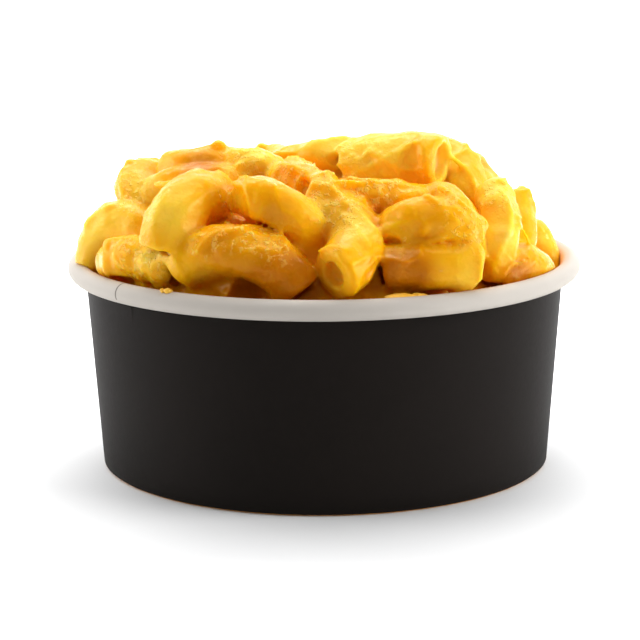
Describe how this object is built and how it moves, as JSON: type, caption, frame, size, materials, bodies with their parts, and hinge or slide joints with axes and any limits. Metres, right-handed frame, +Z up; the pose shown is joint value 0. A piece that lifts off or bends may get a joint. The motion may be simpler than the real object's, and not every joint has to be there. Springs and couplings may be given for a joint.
{
  "type": "bowl of macaroni and cheese",
  "caption": "Short wide paper bowl with a rolled rim, heaped above the rim with elbow macaroni in thick cheese sauce.",
  "frame": {"origin": "centre of the ring that the bowl stands on, at the table", "axes": "+Z up out of the bowl, -Y towards the viewer of the bowl's shown side, +X to that viewer's right"},
  "size_m": [0.1148, 0.1148, 0.0763],
  "materials": {
    "bowl_wall": "coated paperboard, matt black outside, white inside and over the rolled rim",
    "bowl_base": "white coated paperboard",
    "macaroni_heap": "soft pasta coated in thick satin yellow-orange cheese sauce"
  },
  "bodies": {
    "root": {"bowl_wall": "bowl_wall", "bowl_base": "bowl_base", "macaroni_heap": "macaroni_heap"}
  },
  "joints": []
}
